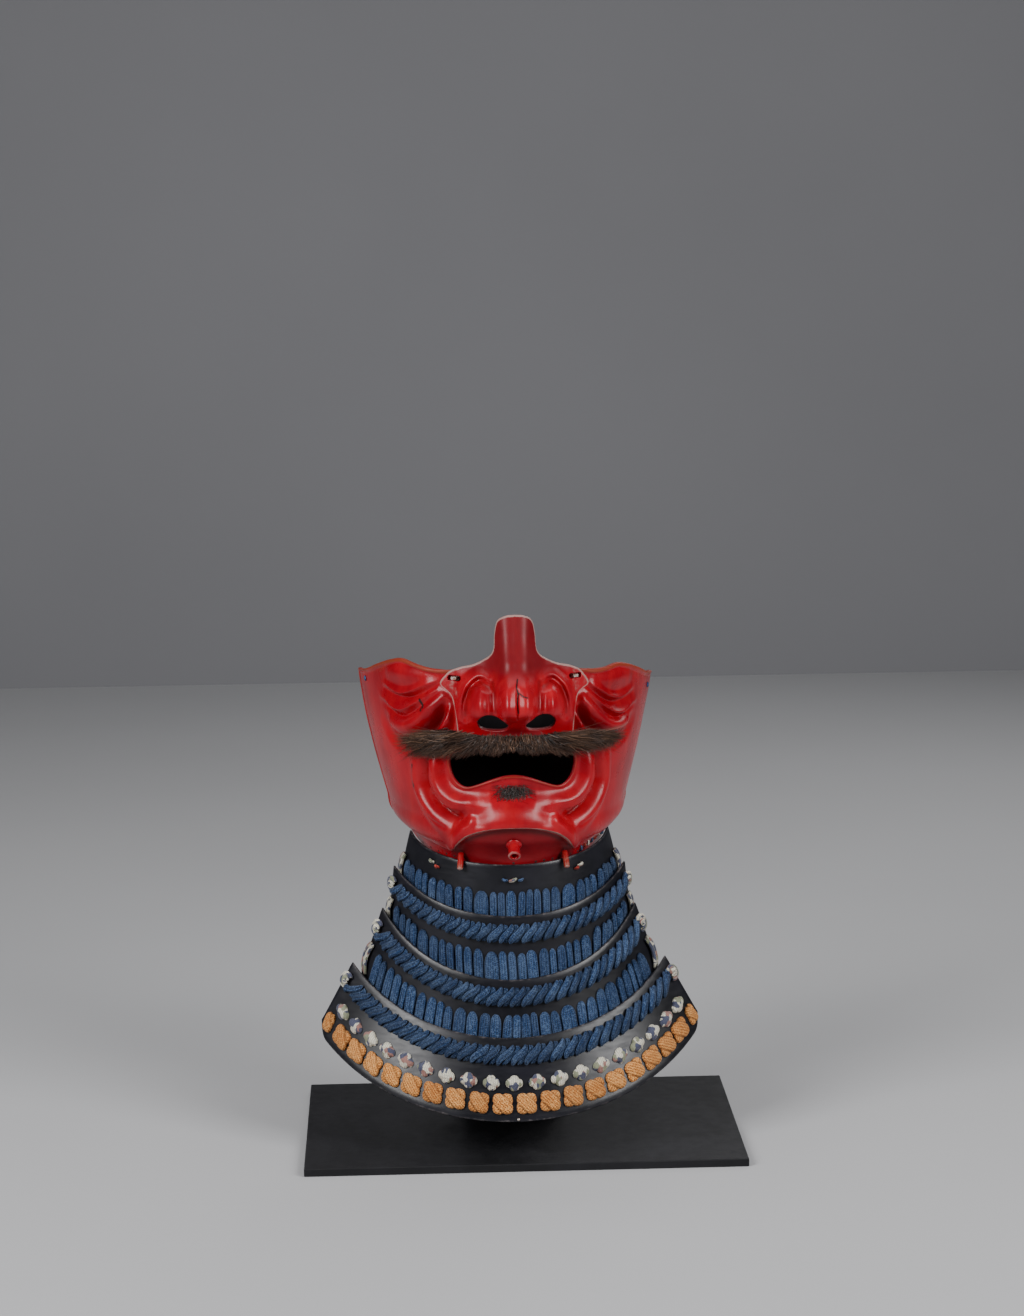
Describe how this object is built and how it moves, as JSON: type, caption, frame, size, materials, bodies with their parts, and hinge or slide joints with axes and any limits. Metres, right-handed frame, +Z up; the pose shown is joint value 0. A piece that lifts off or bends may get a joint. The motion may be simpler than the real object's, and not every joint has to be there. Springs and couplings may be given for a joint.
{
  "type": "samurai face guard and display stand",
  "caption": "Lacquered half-face mask with a separate nose plate, bristle moustache and a flared throat guard of laced lames, on a plain upright stand.",
  "frame": {"origin": "on the underside of the base plate, below the mask's plane of symmetry", "axes": "+Z up, the mask faces -Y, +X is to the right of a viewer who looks at the mask"},
  "size_m": [0.256, 0.1644, 0.3166],
  "materials": {
    "red_lacquer": "glossy vermilion lacquer over iron",
    "black_lacquer": "satin black lacquer over iron",
    "black_powder_coat": "satin",
    "worn_steel": "worn",
    "blue_silk": "braided silk cord",
    "flecked_silk": "braided silk cord, white with red, blue and green",
    "orange_silk": "braided silk cord",
    "bristle": "coarse animal hair"
  },
  "bodies": {
    "root": {"face_plate": "red_lacquer", "nose_plate": "red_lacquer", "nose_hook_left": "worn_steel", "nose_hook_right": "worn_steel", "moustache": "bristle", "chin_tuft": "bristle", "drain_tube": "red_lacquer", "cord_peg_left": "red_lacquer", "cord_peg_right": "red_lacquer", "throat_lame_1": "black_lacquer", "throat_lame_2": "black_lacquer", "throat_lame_3": "black_lacquer", "throat_lame_4": "black_lacquer", "upright_lacing_1": "blue_silk", "upright_lacing_2": "blue_silk", "upright_lacing_3": "blue_silk", "twisted_lacing_1": "blue_silk", "twisted_lacing_2": "blue_silk", "twisted_lacing_3": "blue_silk", "multicolour_knots": "flecked_silk", "orange_knots": "orange_silk", "edge_lacing_left_1": "flecked_silk", "edge_lacing_left_2": "flecked_silk", "edge_lacing_left_3": "flecked_silk", "edge_lacing_left_4": "flecked_silk", "edge_lacing_left_5": "flecked_silk", "edge_lacing_left_6": "flecked_silk", "edge_lacing_right_1": "flecked_silk", "edge_lacing_right_2": "flecked_silk", "edge_lacing_right_3": "flecked_silk", "edge_lacing_right_4": "flecked_silk", "edge_lacing_right_5": "flecked_silk", "edge_lacing_right_6": "flecked_silk", "stand_base": "black_powder_coat", "stand_post": "black_powder_coat"}
  },
  "joints": []
}
